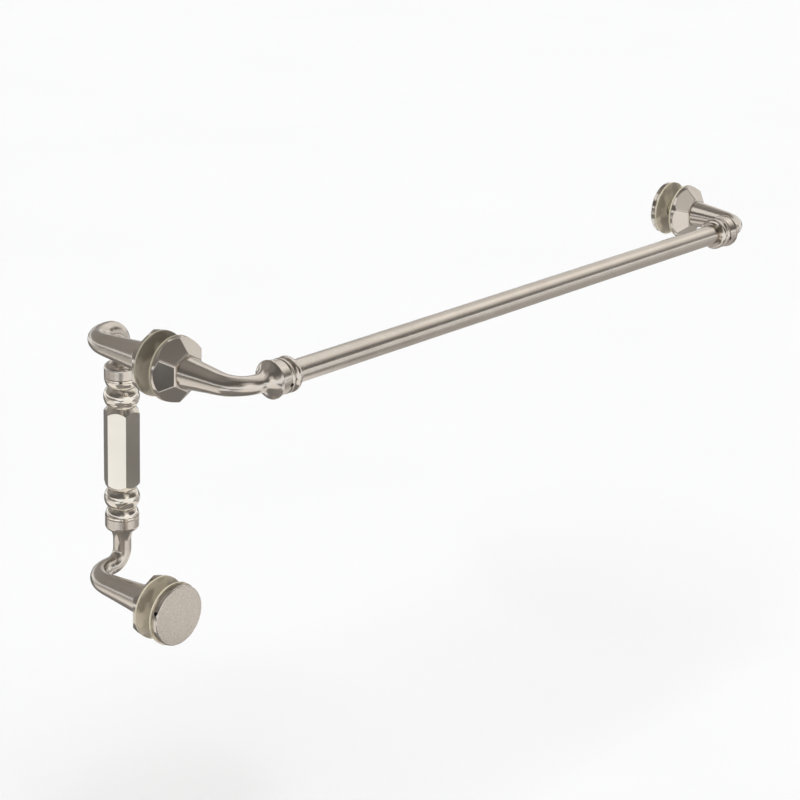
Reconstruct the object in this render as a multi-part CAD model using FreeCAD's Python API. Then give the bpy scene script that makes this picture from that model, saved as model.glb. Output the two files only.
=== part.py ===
"""Pull handle and towel bar set for a glass shower door: turned and cast pieces clamped through three holes.

Origin at the near hole's axis, half way through the glass. +X runs along the towel bar to the far hole,
+Y points out of the glass on the pull's side, +Z is up. Millimetres.
"""
import FreeCAD, Part
import math
import os

V = FreeCAD.Vector

# Hole pattern in the glass
BAR_SPACING = 609.6
PULL_SPACING = 177.8
GLASS_GAP = 12.8

# Clear washers and sleeves
WASHER_RADIUS = 22.6
WASHER_THICKNESS = 1.4
SLEEVE_RADIUS = 6.25
SLEEVE_CLEARANCE = 0.1

# Fasteners
BOLT_RADIUS = 4.0
BOLT_GRIP = 15.0
GRIP_STUD_RADIUS = 3.0
GRIP_STUD_REACH = 9.0
SET_SCREW_RADIUS = 1.5
CAP_SCREW_LENGTH = 8.0
SOCKET_DEPTH = 1.4
SOCKET_SIZE = 1.5
THREAD_CLEARANCE = 0.1
BORE_END_CLEARANCE = 0.5

# Rosette bases with six facets
BASE_RADIUS = 22.3
BASE_HEIGHT = 12.2
BASE_TOP_APOTHEM = 12.0
FACET_SLOPE = 1.0
CREST_ROUND = 2.2
RIM_ROUND = 0.35
FACETS = 6
FAR_BASE_TURN = 15.0

# Cast posts
ROOT_RADIUS = 11.0
NECK_RADIUS = 6.5
TAPER_CURVE = 1.2
TAPER_INTO_BEND = 0.6
SEAM_CHAMFER = 0.4
SECTION_SPACING = 4.5

# Towel bar and its posts
BAR_RADIUS = 8.05
BAR_WALL = 1.5
BAR_REACH = 66.2
BAR_BEND = 18.0
BAR_CLEARANCE = 0.1
BAR_SOCKET_DEPTH = 13.0

# Cups that hold the bar: a bell, a collar, a groove and a ring, with walls measured from the bar's surface
BELL_LENGTH = 11.0
BELL_WALL = 5.2
BELL_LIP = 0.8
COLLAR_LENGTH = 8.4
COLLAR_FOOT_WALL = 4.6
COLLAR_END_WALL = 4.0
COLLAR_GROOVE_WIDTH = 0.6
COLLAR_GROOVE_WALL = 3.0
CUP_RING_WIDTH = 3.8
CUP_RING_WALL = 4.25
BAR_SCREW_BELOW = 14.0
SCREW_SUNK = 0.3

# Beaded ferrules that close the cups round the bar
FERRULE_GROOVE_WIDTH = 0.8
FERRULE_GROOVE_WALL = 2.4
FERRULE_BEAD_WIDTH = 6.2
FERRULE_FOOT_WALL = 3.1
FERRULE_BEAD_WALL = 4.45
FERRULE_END_WALL = 2.5
FERRULE_LIP_WIDTH = 1.6
FERRULE_LIP_WALL = 1.7
FERRULE_MOUTH_WALL = 0.9
FERRULE_MOUTH_DEPTH = 1.0

# Pull and its posts
PULL_REACH = 81.5
PULL_BEND = 22.5
PULL_RUN = 0.5
PULL_TURN = 11.5
NECK_RUN = 6.6
PULL_CUP_RADIUS = 12.2
PULL_BAND = 5.7
PULL_SHOULDER = 4.2
PULL_FLARE = 8.0
PULL_FLARE_RADIUS = 8.8
PULL_FLARE_STEP = 0.4

# Turned grip: a hexagon and then, towards each end, a grooved ball, a cone and a flange
GRIP_HEX_RADIUS = 13.3
GRIP_HEX_END = 4.4
GRIP_LINE = 0.5
GRIP_LINE_DEPTH = 0.6
GRIP_BALL = 14.1
GRIP_BALL_RADIUS = 12.8
GRIP_BALL_LINE = 3.6
GRIP_BALL_LINE_RADIUS = 11.6
GRIP_NECK_RADIUS = 9.8
GRIP_CONE = 5.0
GRIP_CONE_KNEE = 11.35
GRIP_CONE_RADIUS = 11.9
GRIP_FLANGE = 1.6

# Caps over the holes with one post
CAP_RADIUS = 21.6
CAP_THICKNESS = 4.9
CAP_BEVEL = 0.8
CAP_GROOVE_PLACE = 1.3
CAP_GROOVE_WIDTH = 0.6
CAP_GROOVE_DEPTH = 0.6
CAP_THREAD_DEPTH = 4.2
LOWER_SCREW_RISE = 20.0

# Places that follow from the sizes above, measured out from mid-glass
GLASS_FACE = GLASS_GAP / 2
BASE_FOOT = GLASS_FACE + WASHER_THICKNESS
POST_ROOT = BASE_FOOT + BASE_HEIGHT
PULL_OFFSET = PULL_BEND + PULL_RUN + PULL_TURN
PULL_CUP_LENGTH = PULL_FLARE + PULL_SHOULDER + PULL_BAND
GRIP_HALF = PULL_SPACING / 2 - PULL_TURN - NECK_RUN - PULL_CUP_LENGTH
GRIP_END = GRIP_HEX_END + GRIP_BALL + GRIP_CONE + GRIP_FLANGE + 3 * GRIP_LINE
GRIP_HEX_HALF = GRIP_HALF - GRIP_END
BAR_SCREW_PLACE = BAR_BEND + BELL_LENGTH + COLLAR_LENGTH + COLLAR_GROOVE_WIDTH / 2
BAR_CUP_LENGTH = BELL_LENGTH + COLLAR_LENGTH + COLLAR_GROOVE_WIDTH + CUP_RING_WIDTH
BAR_CUP_FACE = BAR_BEND + BAR_CUP_LENGTH
BAR_END = BAR_CUP_FACE - BAR_SOCKET_DEPTH
FERRULE_LENGTH = FERRULE_GROOVE_WIDTH + FERRULE_BEAD_WIDTH + FERRULE_LIP_WIDTH
ARC_MIDDLE = math.sqrt(0.5)

NEAR_HOLE = V(0, 0, 0)
FAR_HOLE = V(BAR_SPACING, 0, 0)
LOWER_HOLE = V(0, 0, -PULL_SPACING)
TOWEL_SIDE = V(0, -1, 0)
PULL_SIDE = V(0, 1, 0)
ALONG_BAR = V(1, 0, 0)
UP = V(0, 0, 1)
ORIGIN = V(0, 0, 0)


def placed(shape, at, axis, side):
    """A shape made along +Z, set at a point with its Z on the axis and its X on the side vector."""
    across = axis.cross(side)
    shape.Placement = FreeCAD.Placement(at, FreeCAD.Rotation(side, across, axis, "ZXY"))
    return shape


def turned(start, steps):
    """Solid of revolution about Z. Points are (radius, height); a step is a point, or an arc's two points."""
    def point(p):
        return V(p[0], 0, p[1])

    edges = []
    last = start
    for step in steps:
        if isinstance(step[0], tuple):
            edges.append(Part.Arc(point(last), point(step[0]), point(step[1])).toShape())
            last = step[1]
        else:
            edges.append(Part.LineSegment(point(last), point(step)).toShape())
            last = step
    edges.append(Part.LineSegment(point(last), point(start)).toShape())
    return Part.Face(Part.Wire(edges)).revolve(ORIGIN, UP, 360)


def flare(radius, end_radius, length):
    """Arc step for a turned profile: leaves a rod at Z = 0 along its surface and widens to the end radius."""
    rise = end_radius - radius
    bow = (rise ** 2 + length ** 2) / (2 * rise)
    half = math.asin(length / bow) / 2
    return ((radius + bow * (1 - math.cos(half)), bow * math.sin(half)), (end_radius, length))


def ring(outer, inner, height):
    return Part.makeCylinder(outer, height).cut(Part.makeCylinder(inner, height))


def hexagon(apothem, height, turn):
    """Flat hexagonal wire at a height, its first corner at the turn angle."""
    corner = apothem / math.cos(math.pi / FACETS)
    angles = [math.radians(turn) + 2 * math.pi * i / FACETS for i in range(FACETS)]
    points = [V(corner * math.cos(a), corner * math.sin(a), height) for a in angles]
    return Part.makePolygon(points + points[:1])


def rosette_blank():
    """Six-sided pyramid without its tip, its crests rounded, a corner on +X and its foot at Z = 0."""
    foot = BASE_TOP_APOTHEM + BASE_HEIGHT / FACET_SLOPE
    half = 2 * foot
    points = [V(-foot, -half, 0), V(foot, -half, 0), V(BASE_TOP_APOTHEM, -half, BASE_HEIGHT),
              V(-BASE_TOP_APOTHEM, -half, BASE_HEIGHT)]
    wedge = Part.Face(Part.makePolygon(points + points[:1])).extrude(V(0, 2 * half, 0))
    blank = wedge.copy()
    blank.rotate(ORIGIN, UP, 180 / FACETS)
    for i in range(1, FACETS // 2):
        other = wedge.copy()
        other.rotate(ORIGIN, UP, 180 / FACETS + 360 / FACETS * i)
        blank = blank.common(other)
    blank = blank.removeSplitter()
    crests = [e for e in blank.Edges if e.BoundBox.ZMax > BASE_HEIGHT / 2]
    return blank.makeFillet(CREST_ROUND, crests)


def base():
    """Round rosette cut by six sloping facets, with the bolt's hole. Its foot is at Z = 0, a corner on +X."""
    drum = Part.makeCylinder(BASE_RADIUS, BASE_HEIGHT)
    drum.rotate(ORIGIN, UP, 120 / FACETS)
    body = drum.common(rosette_blank())
    rim = []
    for edge in body.Edges:
        reach = [math.hypot(v.Point.x, v.Point.y) for v in edge.Vertexes]
        if min(reach) > BASE_RADIUS - 0.001 and edge.BoundBox.ZMin > RIM_ROUND:
            rim.append(edge)
    body = body.makeFillet(RIM_ROUND, rim)
    return body.cut(Part.makeCylinder(BOLT_RADIUS + THREAD_CLEARANCE, BASE_HEIGHT))


def cap():
    """Round cap with a grooved rim and a blind hole for the bolt. Its foot is at Z = 0."""
    groove_end = CAP_GROOVE_PLACE + CAP_GROOVE_WIDTH
    bevel_foot = CAP_THICKNESS - CAP_BEVEL
    bend = CAP_BEVEL * (1 - ARC_MIDDLE)
    body = turned((0, 0), [
        (CAP_RADIUS, 0), (CAP_RADIUS, CAP_GROOVE_PLACE),
        (CAP_RADIUS - CAP_GROOVE_DEPTH, CAP_GROOVE_PLACE), (CAP_RADIUS - CAP_GROOVE_DEPTH, groove_end),
        (CAP_RADIUS, groove_end), (CAP_RADIUS, bevel_foot),
        ((CAP_RADIUS - bend, CAP_THICKNESS - bend), (CAP_RADIUS - CAP_BEVEL, CAP_THICKNESS)),
        (0, CAP_THICKNESS)])
    body = body.cut(Part.makeCylinder(BOLT_RADIUS + THREAD_CLEARANCE, CAP_THREAD_DEPTH))
    hole = Part.makeCylinder(SET_SCREW_RADIUS + THREAD_CLEARANCE, CAP_RADIUS)
    return body.cut(placed(hole, V(0, 0, cap_screw_height()), V(1, 0, 0), UP))


def cap_screw_height():
    return CAP_THREAD_DEPTH - SET_SCREW_RADIUS - THREAD_CLEARANCE


def set_screw(length):
    """Headless screw with a hexagonal socket in its outer end, standing on Z = 0."""
    body = Part.makeCylinder(SET_SCREW_RADIUS, length)
    wire = hexagon(SOCKET_SIZE / 2, length - SOCKET_DEPTH, 0)
    return body.cut(Part.Face(wire).extrude(V(0, 0, SOCKET_DEPTH)))


def bent_path(start, heading, side, legs):
    """Frames (point, heading, side, distance) along straight runs and bends; a bend is (radius, axis)."""
    frames = [(start, heading, side, 0.0)]
    for leg in legs:
        point, heading, side, distance = frames[-1]
        if isinstance(leg, tuple):
            radius, axis = leg
            centre = point + axis.cross(heading) * radius
            steps = round(radius * math.pi / 2 / SECTION_SPACING)
            for i in range(1, steps + 1):
                angle = 90.0 * i / steps
                turn = FreeCAD.Rotation(axis, angle)
                place = centre + turn.multVec(point - centre)
                travelled = distance + math.radians(angle) * radius
                frames.append((place, turn.multVec(heading), turn.multVec(side), travelled))
        else:
            steps = round(leg / SECTION_SPACING)
            for i in range(1, steps + 1):
                step = leg * i / steps
                frames.append((point + heading * step, heading, side, distance + step))
    return frames


def horn(frames, taper_length):
    """Round tapering arm lofted along a path, from the root's radius to the neck's."""
    sections = []
    for point, heading, side, distance in frames:
        left = max(0.0, 1 - distance / taper_length)
        radius = NECK_RADIUS + (ROOT_RADIUS - NECK_RADIUS) * left ** TAPER_CURVE
        sections.append(Part.Wire(placed(Part.makeCircle(radius), point, heading, side)))
    return Part.makeLoft(sections, True, False)


def root_cut(heading, at):
    """Chamfer round the post's foot and the blind hole for the bolt."""
    chamfer = turned((ROOT_RADIUS - SEAM_CHAMFER, 0),
                     [(ROOT_RADIUS + SEAM_CHAMFER, 0), (ROOT_RADIUS + SEAM_CHAMFER, 2 * SEAM_CHAMFER)])
    hole = Part.makeCylinder(BOLT_RADIUS + THREAD_CLEARANCE, BOLT_GRIP + BORE_END_CLEARANCE)
    return placed(Part.Compound([chamfer, hole]), at, heading, UP)


def bar_cup():
    """Bell-shaped cup at the end of a towel post, from the bend's end at Z = 0 to its open face."""
    bell = BAR_RADIUS + BELL_WALL
    lip_end = BELL_LENGTH + BELL_LIP
    collar_end = BELL_LENGTH + COLLAR_LENGTH
    groove_end = collar_end + COLLAR_GROOVE_WIDTH
    groove_radius = BAR_RADIUS + COLLAR_GROOVE_WALL
    ring_middle = (BAR_RADIUS + CUP_RING_WALL, (groove_end + BAR_CUP_LENGTH) / 2)
    return turned((0, 0), [
        (NECK_RADIUS, 0), flare(NECK_RADIUS, bell, BELL_LENGTH), (bell, lip_end),
        (BAR_RADIUS + COLLAR_FOOT_WALL, lip_end), (BAR_RADIUS + COLLAR_END_WALL, collar_end),
        (groove_radius, collar_end), (groove_radius, groove_end),
        (ring_middle, (groove_radius, BAR_CUP_LENGTH)), (0, BAR_CUP_LENGTH)])


def bar_screw_frame():
    """Place on the bar's axis and outward direction of the screw that holds the bar in the near cup."""
    below = math.radians(BAR_SCREW_BELOW)
    return (V(BAR_SCREW_PLACE, -BAR_REACH, 0), V(0, -math.cos(below), -math.sin(below)))


def near_towel_post():
    start = TOWEL_SIDE * POST_ROOT
    legs = [BAR_REACH - BAR_BEND - POST_ROOT, (BAR_BEND, UP)]
    frames = bent_path(start, TOWEL_SIDE, UP, legs)
    taper = legs[0] + TAPER_INTO_BEND * BAR_BEND * math.pi / 2
    end = frames[-1]
    body = horn(frames, taper).fuse(placed(bar_cup(), end[0], end[1], UP))
    socket = Part.makeCylinder(BAR_RADIUS + BAR_CLEARANCE, BAR_SOCKET_DEPTH)
    body = body.cut(placed(socket, V(BAR_END, -BAR_REACH, 0), ALONG_BAR, UP))
    at, out = bar_screw_frame()
    hole = Part.makeCylinder(SET_SCREW_RADIUS + THREAD_CLEARANCE, 2 * BAR_RADIUS)
    return body.cut(placed(hole, at, out, ALONG_BAR)).cut(root_cut(TOWEL_SIDE, start))


def bar_set_screw():
    at, out = bar_screw_frame()
    foot = BAR_RADIUS + THREAD_CLEARANCE
    head = BAR_RADIUS + COLLAR_GROOVE_WALL - SCREW_SUNK
    return placed(set_screw(head - foot), at + out * foot, out, ALONG_BAR)


def ferrule():
    """Beaded ring with a lip that sits on the bar against the cup's face at Z = 0."""
    groove = BAR_RADIUS + FERRULE_GROOVE_WALL
    bead_middle = (BAR_RADIUS + FERRULE_BEAD_WALL, FERRULE_GROOVE_WIDTH + FERRULE_BEAD_WIDTH / 2)
    lip = BAR_RADIUS + FERRULE_LIP_WALL
    lip_foot = FERRULE_LENGTH - FERRULE_LIP_WIDTH
    mouth = BAR_RADIUS + FERRULE_MOUTH_WALL
    mouth_foot = FERRULE_LENGTH - FERRULE_MOUTH_DEPTH
    bore = BAR_RADIUS + BAR_CLEARANCE
    return turned((bore, 0), [
        (groove, 0), (groove, FERRULE_GROOVE_WIDTH), (BAR_RADIUS + FERRULE_FOOT_WALL, FERRULE_GROOVE_WIDTH),
        (bead_middle, (BAR_RADIUS + FERRULE_END_WALL, lip_foot)), (lip, lip_foot), (lip, FERRULE_LENGTH),
        (mouth, FERRULE_LENGTH), (mouth, mouth_foot), (bore, mouth_foot)])


def towel_bar():
    body = ring(BAR_RADIUS, BAR_RADIUS - BAR_WALL, BAR_SPACING - 2 * BAR_END)
    return placed(body, V(BAR_END, -BAR_REACH, 0), ALONG_BAR, UP)


def pull_cup():
    """Flared and shouldered cup at the end of a pull post, from the neck at Z = 0 to the grip's seam."""
    edge = PULL_FLARE_RADIUS + PULL_FLARE_STEP
    shoulder_end = PULL_FLARE + PULL_SHOULDER
    shoulder_middle = (edge + (PULL_CUP_RADIUS - edge) * ARC_MIDDLE,
                       PULL_FLARE + PULL_SHOULDER * (1 - ARC_MIDDLE))
    body = turned((0, 0), [
        (NECK_RADIUS, 0), flare(NECK_RADIUS, PULL_FLARE_RADIUS, PULL_FLARE), (edge, PULL_FLARE),
        (shoulder_middle, (PULL_CUP_RADIUS, shoulder_end)), (PULL_CUP_RADIUS, PULL_CUP_LENGTH - SEAM_CHAMFER),
        (PULL_CUP_RADIUS - SEAM_CHAMFER, PULL_CUP_LENGTH), (0, PULL_CUP_LENGTH)])
    depth = GRIP_STUD_REACH + BORE_END_CLEARANCE
    bore = Part.makeCylinder(GRIP_STUD_RADIUS + THREAD_CLEARANCE, depth, V(0, 0, PULL_CUP_LENGTH - depth))
    return body.cut(bore)


def neck(frame):
    """Even rod from the first bend's end: a short run along the bar, the turn down and a straight neck."""
    point, heading, side, _ = frame
    run = placed(Part.makeCylinder(NECK_RADIUS, PULL_RUN), point, heading, side)
    turn_start = point + heading * PULL_RUN
    section = Part.Face(Part.Wire(placed(Part.makeCircle(NECK_RADIUS), turn_start, heading, side)))
    turn = section.revolve(turn_start - UP * PULL_TURN, PULL_SIDE, 90)
    end = turn_start + (heading - UP) * PULL_TURN
    straight = placed(Part.makeCylinder(NECK_RADIUS, NECK_RUN), end, -UP, heading)
    cup = placed(pull_cup(), end - UP * NECK_RUN, -UP, heading)
    return run.multiFuse([turn, straight, cup])


def upper_pull_post():
    start = PULL_SIDE * POST_ROOT
    legs = [PULL_REACH - PULL_BEND - POST_ROOT, (PULL_BEND, -UP)]
    frames = bent_path(start, PULL_SIDE, UP, legs)
    taper = legs[0] + TAPER_INTO_BEND * PULL_BEND * math.pi / 2
    body = horn(frames, taper).fuse(neck(frames[-1]))
    return body.cut(root_cut(PULL_SIDE, start))


def half_grip():
    """Upper half of the grip, from its middle at Z = 0: turned hexagon, grooved ball, cone and flange."""
    flat = GRIP_HEX_RADIUS * math.cos(math.pi / FACETS)
    hex_end = GRIP_HEX_HALF + GRIP_HEX_END
    ball = hex_end + GRIP_LINE
    ball_end = ball + GRIP_BALL
    cone = ball_end + GRIP_LINE
    cone_end = cone + GRIP_CONE
    flange = cone_end + GRIP_LINE
    neck_line = GRIP_NECK_RADIUS - GRIP_LINE_DEPTH
    cone_line = GRIP_CONE_RADIUS - GRIP_LINE_DEPTH
    body = turned((0, 0), [
        (GRIP_HEX_RADIUS, 0), (GRIP_HEX_RADIUS, GRIP_HEX_HALF),
        ((flat, (GRIP_HEX_HALF + hex_end) / 2), (GRIP_NECK_RADIUS, hex_end)),
        (neck_line, hex_end), (neck_line, ball), (GRIP_NECK_RADIUS, ball),
        ((GRIP_BALL_RADIUS, ball + GRIP_BALL / 2), (GRIP_NECK_RADIUS, ball_end)),
        (neck_line, ball_end), (neck_line, cone), (GRIP_NECK_RADIUS, cone),
        ((GRIP_CONE_KNEE, cone + GRIP_CONE / 2), (GRIP_CONE_RADIUS, cone_end)),
        (cone_line, cone_end), (cone_line, flange), (PULL_CUP_RADIUS, flange),
        (PULL_CUP_RADIUS, GRIP_HALF - SEAM_CHAMFER), (PULL_CUP_RADIUS - SEAM_CHAMFER, GRIP_HALF),
        (0, GRIP_HALF)])
    blank = Part.Face(hexagon(flat, 0, 0)).extrude(V(0, 0, hex_end))
    rest = Part.makeCylinder(2 * GRIP_HEX_RADIUS, GRIP_HALF, V(0, 0, hex_end))
    body = body.common(blank.fuse(rest))
    groove = ring(2 * GRIP_BALL_RADIUS, GRIP_BALL_LINE_RADIUS, GRIP_LINE)
    groove.translate(V(0, 0, ball + GRIP_BALL_LINE))
    body = body.cut(groove)
    depth = GRIP_STUD_REACH + BORE_END_CLEARANCE
    return body.cut(Part.makeCylinder(GRIP_STUD_RADIUS + THREAD_CLEARANCE, depth, V(0, 0, GRIP_HALF - depth)))


def pull_grip():
    upper = half_grip()
    lower = upper.mirror(ORIGIN, UP)
    body = upper.fuse(lower).removeSplitter()
    return placed(body, V(PULL_OFFSET, PULL_REACH, -PULL_SPACING / 2), UP, ALONG_BAR)


def grip_stud(seam_height):
    body = Part.makeCylinder(GRIP_STUD_RADIUS, 2 * GRIP_STUD_REACH)
    return placed(body, V(PULL_OFFSET, PULL_REACH, seam_height - GRIP_STUD_REACH), UP, ALONG_BAR)


def bolt(hole, towel_end, pull_end):
    """Stud through the glass from one depth on the towel bar's side to another on the pull's side."""
    body = Part.makeCylinder(BOLT_RADIUS, towel_end + pull_end)
    return placed(body, hole + TOWEL_SIDE * towel_end, PULL_SIDE, UP)


def mirrored_along_bar(shape):
    return shape.mirror(V(BAR_SPACING / 2, 0, 0), ALONG_BAR)


def mirrored_up(shape):
    return shape.mirror(V(0, 0, -PULL_SPACING / 2), UP)


def cap_screw(hole, side, out):
    at = hole + side * (BASE_FOOT + cap_screw_height()) + out * (BOLT_RADIUS + THREAD_CLEARANCE)
    return placed(set_screw(CAP_SCREW_LENGTH), at, out, side)


def build():
    nodes = {}
    sides = {"near": (NEAR_HOLE, "towel", "pull"), "lower": (LOWER_HOLE, "cap", "pull"),
             "far": (FAR_HOLE, "towel", "cap")}
    post_end = POST_ROOT + BOLT_GRIP
    cap_end = BASE_FOOT + CAP_THREAD_DEPTH - BORE_END_CLEARANCE
    for name, (hole, towel_piece, pull_piece) in sides.items():
        ends = [cap_end if piece == "cap" else post_end for piece in (towel_piece, pull_piece)]
        nodes[name + "_bolt"] = bolt(hole, *ends)
        sleeve = ring(SLEEVE_RADIUS, BOLT_RADIUS + THREAD_CLEARANCE, 2 * BASE_FOOT)
        nodes[name + "_sleeve"] = placed(sleeve, hole + TOWEL_SIDE * BASE_FOOT, PULL_SIDE, UP)
        for side, piece in ((TOWEL_SIDE, towel_piece), (PULL_SIDE, pull_piece)):
            washer = ring(WASHER_RADIUS, SLEEVE_RADIUS + SLEEVE_CLEARANCE, WASHER_THICKNESS)
            nodes[name + "_" + piece + "_washer"] = placed(washer, hole + side * GLASS_FACE, side, UP)

    turn = math.radians(FAR_BASE_TURN)
    far_corner = UP * math.sin(turn) - ALONG_BAR * math.cos(turn)
    for name, hole, side, corner in (("near_towel", NEAR_HOLE, TOWEL_SIDE, UP),
                                     ("far_towel", FAR_HOLE, TOWEL_SIDE, far_corner),
                                     ("upper_pull", NEAR_HOLE, PULL_SIDE, UP),
                                     ("lower_pull", LOWER_HOLE, PULL_SIDE, UP)):
        nodes[name + "_base"] = placed(base(), hole + side * BASE_FOOT, side, corner)

    nodes["near_towel_post"] = near_towel_post()
    nodes["near_bar_set_screw"] = bar_set_screw()
    nodes["near_bar_ferrule"] = placed(ferrule(), V(BAR_CUP_FACE, -BAR_REACH, 0), ALONG_BAR, UP)
    for name in ("towel_post", "bar_set_screw", "bar_ferrule"):
        nodes["far_" + name] = mirrored_along_bar(nodes["near_" + name])
    nodes["towel_bar"] = towel_bar()

    nodes["upper_pull_post"] = upper_pull_post()
    nodes["lower_pull_post"] = mirrored_up(nodes["upper_pull_post"])
    nodes["pull_grip"] = pull_grip()
    nodes["upper_grip_stud"] = grip_stud(-PULL_SPACING / 2 + GRIP_HALF)
    nodes["lower_grip_stud"] = grip_stud(-PULL_SPACING / 2 - GRIP_HALF)

    rise = math.radians(LOWER_SCREW_RISE)
    lower_out = UP * math.sin(rise) - ALONG_BAR * math.cos(rise)
    nodes["lower_cap"] = placed(cap(), LOWER_HOLE + TOWEL_SIDE * BASE_FOOT, TOWEL_SIDE, lower_out)
    nodes["lower_cap_set_screw"] = cap_screw(LOWER_HOLE, TOWEL_SIDE, lower_out)
    nodes["far_cap"] = placed(cap(), FAR_HOLE + PULL_SIDE * BASE_FOOT, PULL_SIDE, -UP)
    nodes["far_cap_set_screw"] = cap_screw(FAR_HOLE, PULL_SIDE, -UP)
    return nodes


def main():
    os.makedirs("parts", exist_ok=True)
    for name, shape in build().items():
        shape.exportStep(os.path.join("parts", name + ".step"))
        print(name, len(shape.Solids), shape.isValid(), round(shape.Volume, 1))


main()
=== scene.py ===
"""Studio view of a shower door pull and towel bar set: satin nickel, bright nickel and clear vinyl."""

import math

import bpy
from mathutils import Matrix, Vector


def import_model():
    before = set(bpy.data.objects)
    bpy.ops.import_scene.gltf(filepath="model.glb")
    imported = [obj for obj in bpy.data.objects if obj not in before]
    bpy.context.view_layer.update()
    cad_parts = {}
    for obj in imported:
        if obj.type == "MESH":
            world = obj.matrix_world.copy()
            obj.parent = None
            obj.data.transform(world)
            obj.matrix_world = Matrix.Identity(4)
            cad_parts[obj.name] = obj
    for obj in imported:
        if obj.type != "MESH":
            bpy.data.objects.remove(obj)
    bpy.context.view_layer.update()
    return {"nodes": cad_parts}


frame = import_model()

# Camera at the photograph's viewing angle, angles in degrees and lengths in metres
CAMERA_AZIMUTH = -50.49
CAMERA_ELEVATION = 19.69
CAMERA_ROLL = 2.34
CAMERA_PLACE = (-0.93393, -0.97066, 0.46152)
FOCAL_PIXELS = 2143.92
FRAME_PIXELS = 800
SENSOR_MM = 36.0

# Studio
MATTE = {"Roughness": 0.9, "Specular_IOR_Level": 0.0}
FLOOR_HEIGHT = -0.42
FLOOR_HALF = 30.0
FLOOR_WHITE = (0.945, 0.962, 0.98)
FLOOR_SHADE = 0.985
FLOOR_GRAIN = 3
BACKDROP_RADIUS = 28.0
BACKDROP_HEIGHT = 3.7
BACKDROP_SIDES = 96
BACKDROP_WHITE = 0.97
SUN_STRENGTH = 2.38
SUN_ANGLE = 40.0
SUN_HEADING = (0.35, 0.30, -1.0)
SKY = (0.13, 0.122, 0.115)

# Soft glows in the sky: direction, colour, and the cosines where each one starts and is full
SKY_GLOWS = (((-0.15, -0.98, 0.06), (0.95, 0.91, 0.87), 0.89, 0.97),
             ((-0.12, -0.80, 0.58), (0.50, 0.48, 0.455), 0.94, 0.99),
             ((-0.68, -0.72, 0.12), (0.24, 0.23, 0.215), 0.93, 0.985),
             ((-0.40, 0.30, 0.87), (0.09, 0.085, 0.08), 0.80, 0.95),
             ((0.96, 0.12, 0.26), (0.64, 0.62, 0.59), 0.74, 0.95),
             ((0.45, -0.10, 0.88), (0.32, 0.305, 0.29), 0.80, 0.96),
             ((0.66, -0.28, 0.70), (0.24, 0.23, 0.215), 0.89, 0.98),
             ((0.00, 0.97, 0.26), (0.16, 0.15, 0.14), 0.55, 0.90))

# Cards that only reflections see, on the floor and over the bar: low corner, high corner, tones along X
CARD_TINT = (1.0, 0.97, 0.94)
CARD_LIFT = 0.005
FLOOR_CARDS = {"left_card": ((-29.0, -0.9), (-1.2, 14.0), 0.05, 0.22),
               "near_left_card": ((-1.2, 0.08), (-0.12, 0.62), 0.66, 0.90),
               "far_left_card": ((-1.2, 0.62), (-0.12, 1.6), 0.42, 0.50),
               "behind_card": ((-0.12, 0.42), (0.9, 1.6), 0.17, 0.22),
               "beyond_card": ((0.9, 0.25), (29.0, 29.0), 0.22, 0.40),
               "pull_card": ((-0.12, 0.08), (0.28, 0.42), 0.20, 0.26),
               "under_card": ((-0.50, -0.38), (0.28, 0.08), 0.26, 0.20),
               "front_card": ((-0.50, -1.5), (0.28, -0.38), 0.90, 0.90),
               "camera_edge_card": ((-1.12, -1.30), (-0.94, -0.45), 0.50, 0.02),
               "camera_card": ((-0.94, -1.30), (-0.60, -0.45), 0.02, 0.03),
               "cap_card": ((0.28, -0.55), (0.45, -0.30), 0.84, 0.92),
               "grip_card": ((0.45, -0.75), (0.80, -0.42), 0.17, 0.21),
               "bar_card": ((0.80, -1.2), (2.3, -0.42), 0.46, 0.46),
               "right_card": ((0.28, -0.30), (0.50, 0.25), 0.72, 0.85),
               "bar_floor_card": ((0.50, -0.42), (1.6, 0.25), 0.41, 0.41),
               "far_card": ((2.3, -6.0), (8.0, -0.42), 0.50, 0.50)}
HIGH_CARD = ((0.12, -0.12), (0.48, 0.32), 0.95, 0.95)
HIGH_CARD_HEIGHT = 0.30

# Pieces of the part
POST_NODES = ("near_towel_post", "far_towel_post")
PULL_POST_NODES = ("upper_pull_post", "lower_pull_post")
BASE_NODES = ("near_towel_base", "far_towel_base", "upper_pull_base", "lower_pull_base")
CAP_NODES = ("lower_cap", "far_cap")
BAR_NODES = ("towel_bar",)
GRIP_NODES = ("pull_grip",)
FERRULE_NODES = ("near_bar_ferrule", "far_bar_ferrule")
NEAR_WASHER_NODES = ("near_pull_washer", "near_towel_washer")
WASHER_NODES = ("lower_pull_washer", "lower_cap_washer", "far_cap_washer", "far_towel_washer")
SLEEVE_NODES = ("near_sleeve", "lower_sleeve", "far_sleeve")
STUD_NODES = ("near_bolt", "lower_bolt", "far_bolt", "upper_grip_stud", "lower_grip_stud")
SCREW_NODES = ("lower_cap_set_screw", "far_cap_set_screw", "near_bar_set_screw", "far_bar_set_screw")

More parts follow.
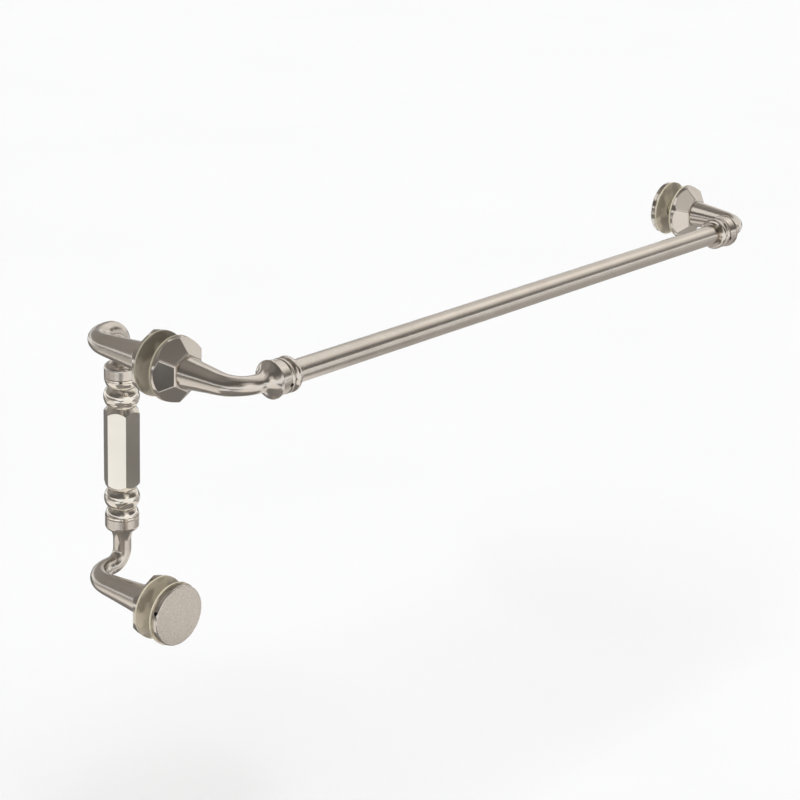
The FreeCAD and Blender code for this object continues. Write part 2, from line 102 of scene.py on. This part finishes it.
# Nickel finishes: pieces, grain along each axis, dull and clear colours, roughness, strength of grain
SATIN = ((0.70, 0.65, 0.59), (0.76, 0.71, 0.65))
BRIGHT = ((0.84, 0.795, 0.72), (0.90, 0.855, 0.775))
NICKELS = {"satin_nickel": (POST_NODES, (2600, 2600, 2600), SATIN, (0.17, 0.23), 0.15),
           "satin_nickel_soft": (PULL_POST_NODES, (2600, 2600, 2600), SATIN, (0.20, 0.26), 0.2),
           "satin_nickel_fine": (BASE_NODES, (3000, 3000, 3000), SATIN, (0.12, 0.17), 0.12),
           "satin_nickel_bar": (BAR_NODES, (60, 4200, 4200), SATIN, (0.18, 0.28), 0.3),
           "bright_nickel": (GRIP_NODES, (1500, 1500, 1500), BRIGHT, (0.10, 0.14), 0.02),
           "polished_nickel": (FERRULE_NODES, (1500, 1500, 1500), SATIN, (0.10, 0.14), 0.02)}
NICKEL_DRIFT = 38
NICKEL_DEPTH = 0.00002

# Caps: grainy face and polished rim, with the flatness at which the rim ends and the face begins
CAP_GRAIN = 1000
CAP_SHADES = (0.88, 1.08)
CAP_RIM_ROUGHNESS = 0.12
CAP_FACE_ROUGHNESS = 0.30
CAP_RIM_END = 0.80
CAP_FACE_START = 0.98
CAP_BUMP = 0.5
CAP_DEPTH = 0.00003

# Vinyl: pieces, face colour, rim colour (on the washers a paler painted highlight of light gathering in
# their edges), roughness, clearness
AMBER = (0.97, 0.86, 0.68)
# Cream of the sleeves, also painted on the washers' rims as a highlight of light gathering in their edges
CREAM_AND_RIM_HIGHLIGHT = (1.0, 0.93, 0.72)
VINYLS = {"clear_vinyl": (NEAR_WASHER_NODES, AMBER, CREAM_AND_RIM_HIGHLIGHT, 0.06, 0.60),
          "milky_vinyl": (WASHER_NODES, AMBER, CREAM_AND_RIM_HIGHLIGHT, 0.06, 0.35),
          "clear_sleeve": (SLEEVE_NODES, CREAM_AND_RIM_HIGHLIGHT, CREAM_AND_RIM_HIGHLIGHT, 0.15, 0.80)}
VINYL_IOR = 1.5
# Darker patches painted at random on the washer faces, standing in for shade and reflections seen in them
VINYL_PAINTED_SHADE_SCALE = 75
VINYL_PAINTED_SHADE_SHARE = 0.55
VINYL_PAINTED_SHADE_START = 0.42
VINYL_PAINTED_SHADE_END = 0.56
# Grain and dimming of the painted rim highlight
VINYL_RIM_HIGHLIGHT_GRAIN = 200
VINYL_RIM_HIGHLIGHT_DIM = 0.92
VINYL_GRAIN = 900
VINYL_BUMP = 0.08
VINYL_DEPTH = 0.00005

# Steel: pieces and colour
STEELS = {"stud_steel": (STUD_NODES, (0.45, 0.45, 0.45)),
          "screw_steel": (SCREW_NODES, (0.10, 0.09, 0.08))}
STEEL_DRIFT = 250
STEEL_SHADE = 0.8
STEEL_GRAIN = 600
STEEL_SMOOTH = 0.3
STEEL_ROUGH = 0.45


class Shader:
    """A node material that is built up link by link."""

    def __init__(self, name):
        self.material = bpy.data.materials.new(name)
        self.material.use_nodes = True
        self.nodes = self.material.node_tree.nodes
        self.links = self.material.node_tree.links
        self.surface = self.nodes["Principled BSDF"]

    def set(self, **values):
        for name, value in values.items():
            self.surface.inputs[name.replace("_", " ")].default_value = value

    def place(self, scale):
        """The part's own coordinates, stretched by a scale along each axis."""
        coords = self.nodes.new("ShaderNodeTexCoord")
        mapping = self.nodes.new("ShaderNodeMapping")
        mapping.inputs["Scale"].default_value = scale
        self.links.new(coords.outputs["Object"], mapping.inputs["Vector"])
        return mapping.outputs["Vector"]

    def noise(self, scale, detail):
        texture = self.nodes.new("ShaderNodeTexNoise")
        texture.inputs["Scale"].default_value = 1.0
        texture.inputs["Detail"].default_value = detail
        self.links.new(self.place(scale), texture.inputs["Vector"])
        return texture.outputs["Fac"]

    def flatness(self):
        """One on the faces that lie along the glass, nought on the rims round them."""
        coords = self.nodes.new("ShaderNodeTexCoord")
        axes = self.nodes.new("ShaderNodeSeparateXYZ")
        size = self.nodes.new("ShaderNodeMath")
        size.operation = "ABSOLUTE"
        self.links.new(coords.outputs["Normal"], axes.inputs["Vector"])
        self.links.new(axes.outputs["Y"], size.inputs[0])
        return size.outputs["Value"]

    def blend(self, share, low, high):
        """One colour where the share is nought and another where it is one."""
        mix = self.nodes.new("ShaderNodeMix")
        mix.data_type = "RGBA"
        self.links.new(share, mix.inputs["Factor"])
        self.links.new(low, mix.inputs["A"])
        self.links.new(high, mix.inputs["B"])
        return mix.outputs["Result"]

    def ramp(self, value, low, high, start=0.3, end=0.7):
        """Colours or greys between two ends of a value."""
        ramp = self.nodes.new("ShaderNodeValToRGB")
        ramp.color_ramp.elements[0].position = start
        ramp.color_ramp.elements[1].position = end
        ramp.color_ramp.elements[0].color = (*low, 1)
        ramp.color_ramp.elements[1].color = (*high, 1)
        self.links.new(value, ramp.inputs["Fac"])
        return ramp.outputs["Color"]

    def feed(self, output, socket):
        self.links.new(output, self.surface.inputs[socket])

    def bump(self, value, strength, distance):
        bump = self.nodes.new("ShaderNodeBump")
        bump.inputs["Strength"].default_value = strength
        bump.inputs["Distance"].default_value = distance
        self.links.new(value, bump.inputs["Height"])
        self.feed(bump.outputs["Normal"], "Normal")


def evenly(scale):
    """The same scale along each axis."""
    return (scale, scale, scale)


def grey(value):
    return (value, value, value)


def shade(colour, share):
    return tuple(c * share for c in colour)


def nickel(name, grain, colours, roughness, strength):
    """Nickel plate with a fine grain, a slow drift of tone and a roughness that follows the grain."""
    shader = Shader(name)
    shader.set(Metallic=1.0)
    shader.feed(shader.ramp(shader.noise(evenly(NICKEL_DRIFT), detail=3), *colours), "Base Color")
    lines = shader.noise(grain, detail=2)
    smooth, rough = roughness
    shader.feed(shader.ramp(lines, grey(smooth), grey(rough)), "Roughness")
    shader.bump(lines, strength, NICKEL_DEPTH)
    return shader.material


def turned_cap(name, colours):
    """Nickel cap with a satin, grainy face and a polished rim."""
    shader = Shader(name)
    shader.set(Metallic=1.0)
    grain = shader.noise(evenly(CAP_GRAIN), detail=3)
    tones = [shade(colour, share) for colour, share in zip(colours, CAP_SHADES)]
    shader.feed(shader.ramp(grain, *tones), "Base Color")
    polish = shader.ramp(shader.flatness(), grey(CAP_RIM_ROUGHNESS), grey(CAP_FACE_ROUGHNESS),
                         CAP_RIM_END, CAP_FACE_START)
    shader.feed(polish, "Roughness")
    shader.bump(grain, CAP_BUMP, CAP_DEPTH)
    return shader.material


def clear_vinyl(name, face, rim, roughness, clearness):
    """Clear plastic with painted shade and reflection patches that come and go on its faces, and a
    painted highlight on its paler rim.
    """
    shader = Shader(name)
    shader.set(Roughness=roughness, IOR=VINYL_IOR, Transmission_Weight=clearness)
    # Painted shade and reflection: darker patches laid at random over the face colour
    painted_shade_patches = shader.ramp(shader.noise(evenly(VINYL_PAINTED_SHADE_SCALE), detail=1), shade(face, VINYL_PAINTED_SHADE_SHARE), face,
                        VINYL_PAINTED_SHADE_START, VINYL_PAINTED_SHADE_END)
    # Painted highlight: the rim colour, paler than the face on the washers, stands for light gathering in
    # their edges
    edge = shader.ramp(shader.noise(evenly(VINYL_RIM_HIGHLIGHT_GRAIN), detail=1), shade(rim, VINYL_RIM_HIGHLIGHT_DIM), rim)
    shader.feed(shader.blend(shader.flatness(), edge, painted_shade_patches), "Base Color")
    shader.bump(shader.noise(evenly(VINYL_GRAIN), detail=2), VINYL_BUMP, VINYL_DEPTH)
    return shader.material


def steel(name, colour):
    shader = Shader(name)
    shader.set(Metallic=1.0)
    drift = shader.noise(evenly(STEEL_DRIFT), detail=2)
    shader.feed(shader.ramp(drift, colour, shade(colour, STEEL_SHADE)), "Base Color")
    grain = shader.noise(evenly(STEEL_GRAIN), detail=2)
    shader.feed(shader.ramp(grain, grey(STEEL_SMOOTH), grey(STEEL_ROUGH)), "Roughness")
    return shader.material


def dress(names, material):
    for name in names:
        mesh = frame["nodes"][name].data
        mesh.materials.clear()
        mesh.materials.append(material)


def materials():
    for name, (pieces, *finish) in NICKELS.items():
        dress(pieces, nickel(name, *finish))
    dress(CAP_NODES, turned_cap("satin_nickel_turned", SATIN))
    for name, (pieces, *finish) in VINYLS.items():
        dress(pieces, clear_vinyl(name, *finish))
    for name, (pieces, colour) in STEELS.items():
        dress(pieces, steel(name, colour))


def card(name, height, low, high, low_tone, high_tone):
    """Level card that shows only in reflections, shaded from one tone to another along X."""
    middle = ((low[0] + high[0]) / 2, (low[1] + high[1]) / 2, height)
    bpy.ops.mesh.primitive_plane_add(size=1.0, location=middle)
    plane = bpy.context.object
    plane.name = name
    plane.scale = (high[0] - low[0], high[1] - low[1], 1)
    shader = Shader(name)
    shader.set(**MATTE)
    coords = shader.nodes.new("ShaderNodeTexCoord")
    axes = shader.nodes.new("ShaderNodeSeparateXYZ")
    shader.links.new(coords.outputs["Generated"], axes.inputs["Vector"])
    tones = (shade(CARD_TINT, low_tone), shade(CARD_TINT, high_tone))
    shader.feed(shader.ramp(axes.outputs["X"], *tones, start=0.0, end=1.0), "Base Color")
    plane.data.materials.append(shader.material)
    plane.visible_camera = False
    plane.visible_diffuse = False
    plane.visible_shadow = False
    plane.visible_transmission = False


def sun_light():
    """Soft sun that the metal doesn't mirror."""
    data = bpy.data.lights.new("sun", "SUN")
    data.energy = SUN_STRENGTH
    data.angle = math.radians(SUN_ANGLE)
    lamp = bpy.data.objects.new("sun", data)
    lamp.rotation_mode = "QUATERNION"
    lamp.rotation_quaternion = Vector(SUN_HEADING).to_track_quat("-Z", "Y")
    lamp.visible_glossy = False
    bpy.context.collection.objects.link(lamp)


def floor():
    bpy.ops.mesh.primitive_plane_add(size=2 * FLOOR_HALF, location=(0, 0, FLOOR_HEIGHT))
    ground = bpy.context.object
    ground.name = "floor"
    shader = Shader("floor_white")
    shader.set(**MATTE)
    drift = shader.noise(evenly(FLOOR_GRAIN), detail=2)
    shader.feed(shader.ramp(drift, FLOOR_WHITE, shade(FLOOR_WHITE, FLOOR_SHADE)), "Base Color")
    ground.data.materials.append(shader.material)


def backdrop():
    """White wall round the floor's far edge that camera and metal see, and that lights nothing else."""
    bpy.ops.mesh.primitive_cylinder_add(vertices=BACKDROP_SIDES, radius=BACKDROP_RADIUS,
                                        depth=BACKDROP_HEIGHT, end_fill_type="NOTHING",
                                        location=(0, 0, FLOOR_HEIGHT + BACKDROP_HEIGHT / 2))
    wall = bpy.context.object
    wall.name = "backdrop"
    shader = Shader("backdrop_white")
    shader.set(**MATTE, Base_Color=(*grey(0), 1))
    shader.set(Emission_Strength=1.0, Emission_Color=(*grey(BACKDROP_WHITE), 1))
    wall.data.materials.append(shader.material)
    wall.visible_diffuse = False
    wall.visible_shadow = False


def world():
    """Dim studio with soft glows in fixed directions."""
    sky = bpy.data.worlds.new("studio")
    sky.use_nodes = True
    nodes = sky.node_tree.nodes
    links = sky.node_tree.links
    coords = nodes.new("ShaderNodeTexCoord")
    total = None
    for heading, colour, start, full in SKY_GLOWS:
        facing = nodes.new("ShaderNodeVectorMath")
        facing.operation = "DOT_PRODUCT"
        facing.inputs[1].default_value = Vector(heading).normalized()
        links.new(coords.outputs["Generated"], facing.inputs[0])
        fade = nodes.new("ShaderNodeMapRange")
        fade.interpolation_type = "SMOOTHSTEP"
        fade.inputs["From Min"].default_value = start
        fade.inputs["From Max"].default_value = full
        links.new(facing.outputs["Value"], fade.inputs["Value"])
        glow = nodes.new("ShaderNodeMix")
        glow.data_type = "RGBA"
        glow.blend_type = "ADD"
        links.new(fade.outputs["Result"], glow.inputs["Factor"])
        glow.inputs["B"].default_value = (*colour, 1)
        if total is None:
            glow.inputs["A"].default_value = (*SKY, 1)
        else:
            links.new(total, glow.inputs["A"])
        total = glow.outputs["Result"]
    links.new(total, nodes["Background"].inputs["Color"])
    bpy.context.scene.world = sky


def studio():
    world()
    floor()
    backdrop()
    sun_light()
    for name, placing in FLOOR_CARDS.items():
        card(name, FLOOR_HEIGHT + CARD_LIFT, *placing)
    card("high_card", HIGH_CARD_HEIGHT, *HIGH_CARD)


def camera():
    azimuth = math.radians(CAMERA_AZIMUTH)
    elevation = math.radians(CAMERA_ELEVATION)
    roll = math.radians(CAMERA_ROLL)
    right = Vector((math.cos(azimuth), math.sin(azimuth), 0))
    back = Vector((math.sin(azimuth) * math.cos(elevation), -math.cos(azimuth) * math.cos(elevation),
                   math.sin(elevation)))
    up = back.cross(right)
    rolled_right = right * math.cos(roll) + up * math.sin(roll)
    rolled_up = up * math.cos(roll) - right * math.sin(roll)
    data = bpy.data.cameras.new("camera")
    data.sensor_width = SENSOR_MM
    data.lens = FOCAL_PIXELS * SENSOR_MM / FRAME_PIXELS
    eye = bpy.data.objects.new("camera", data)
    axes = Matrix((rolled_right, rolled_up, back)).transposed().to_4x4()
    eye.matrix_world = Matrix.Translation(CAMERA_PLACE) @ axes
    bpy.context.collection.objects.link(eye)
    bpy.context.scene.camera = eye


bpy.context.scene.view_settings.view_transform = "Standard"
materials()
studio()
camera()
